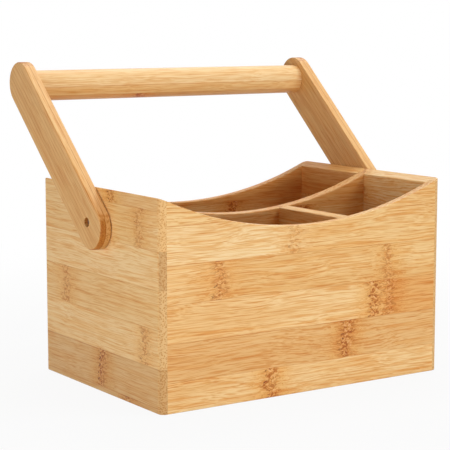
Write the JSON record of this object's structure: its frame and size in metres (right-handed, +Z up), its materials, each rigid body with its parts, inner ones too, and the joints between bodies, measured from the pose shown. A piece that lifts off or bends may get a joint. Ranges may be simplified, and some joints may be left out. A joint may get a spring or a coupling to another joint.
{
  "type": "utensil caddy",
  "caption": "Open bamboo box for cutlery, divided inside, with a round carry grip on two flat arms that swing over it.",
  "frame": {"origin": "centre of the box's underside, on the surface that it stands on", "axes": "+X along the front to the right, +Y to the back, +Z up"},
  "size_m": [0.2688, 0.2084, 0.2368],
  "materials": {
    "bamboo": "satin lacquer over laminated bamboo strips",
    "bamboo_handle": "satin lacquer over laminated bamboo strips",
    "steel": "plain turned steel",
    "brass": "plain turned brass"
  },
  "bodies": {
    "box": {"front_board": "bamboo", "back_board": "bamboo", "left_end_board": "bamboo", "right_end_board": "bamboo", "bottom_board": "bamboo", "long_divider": "bamboo", "cross_divider": "bamboo", "left_pivot_screw": "steel", "right_pivot_screw": "steel", "left_insert": "brass", "right_insert": "brass"},
    "handle": {"left_arm": "bamboo_handle", "right_arm": "bamboo_handle", "grip": "bamboo_handle"}
  },
  "joints": [
    {"name": "handle_swing", "type": "hinge", "parent": "box", "child": "handle", "pos_m": [0, 0, 0.125], "axis": [1, 0, 0], "range_deg": [-87.4, 183.4]}
  ]
}
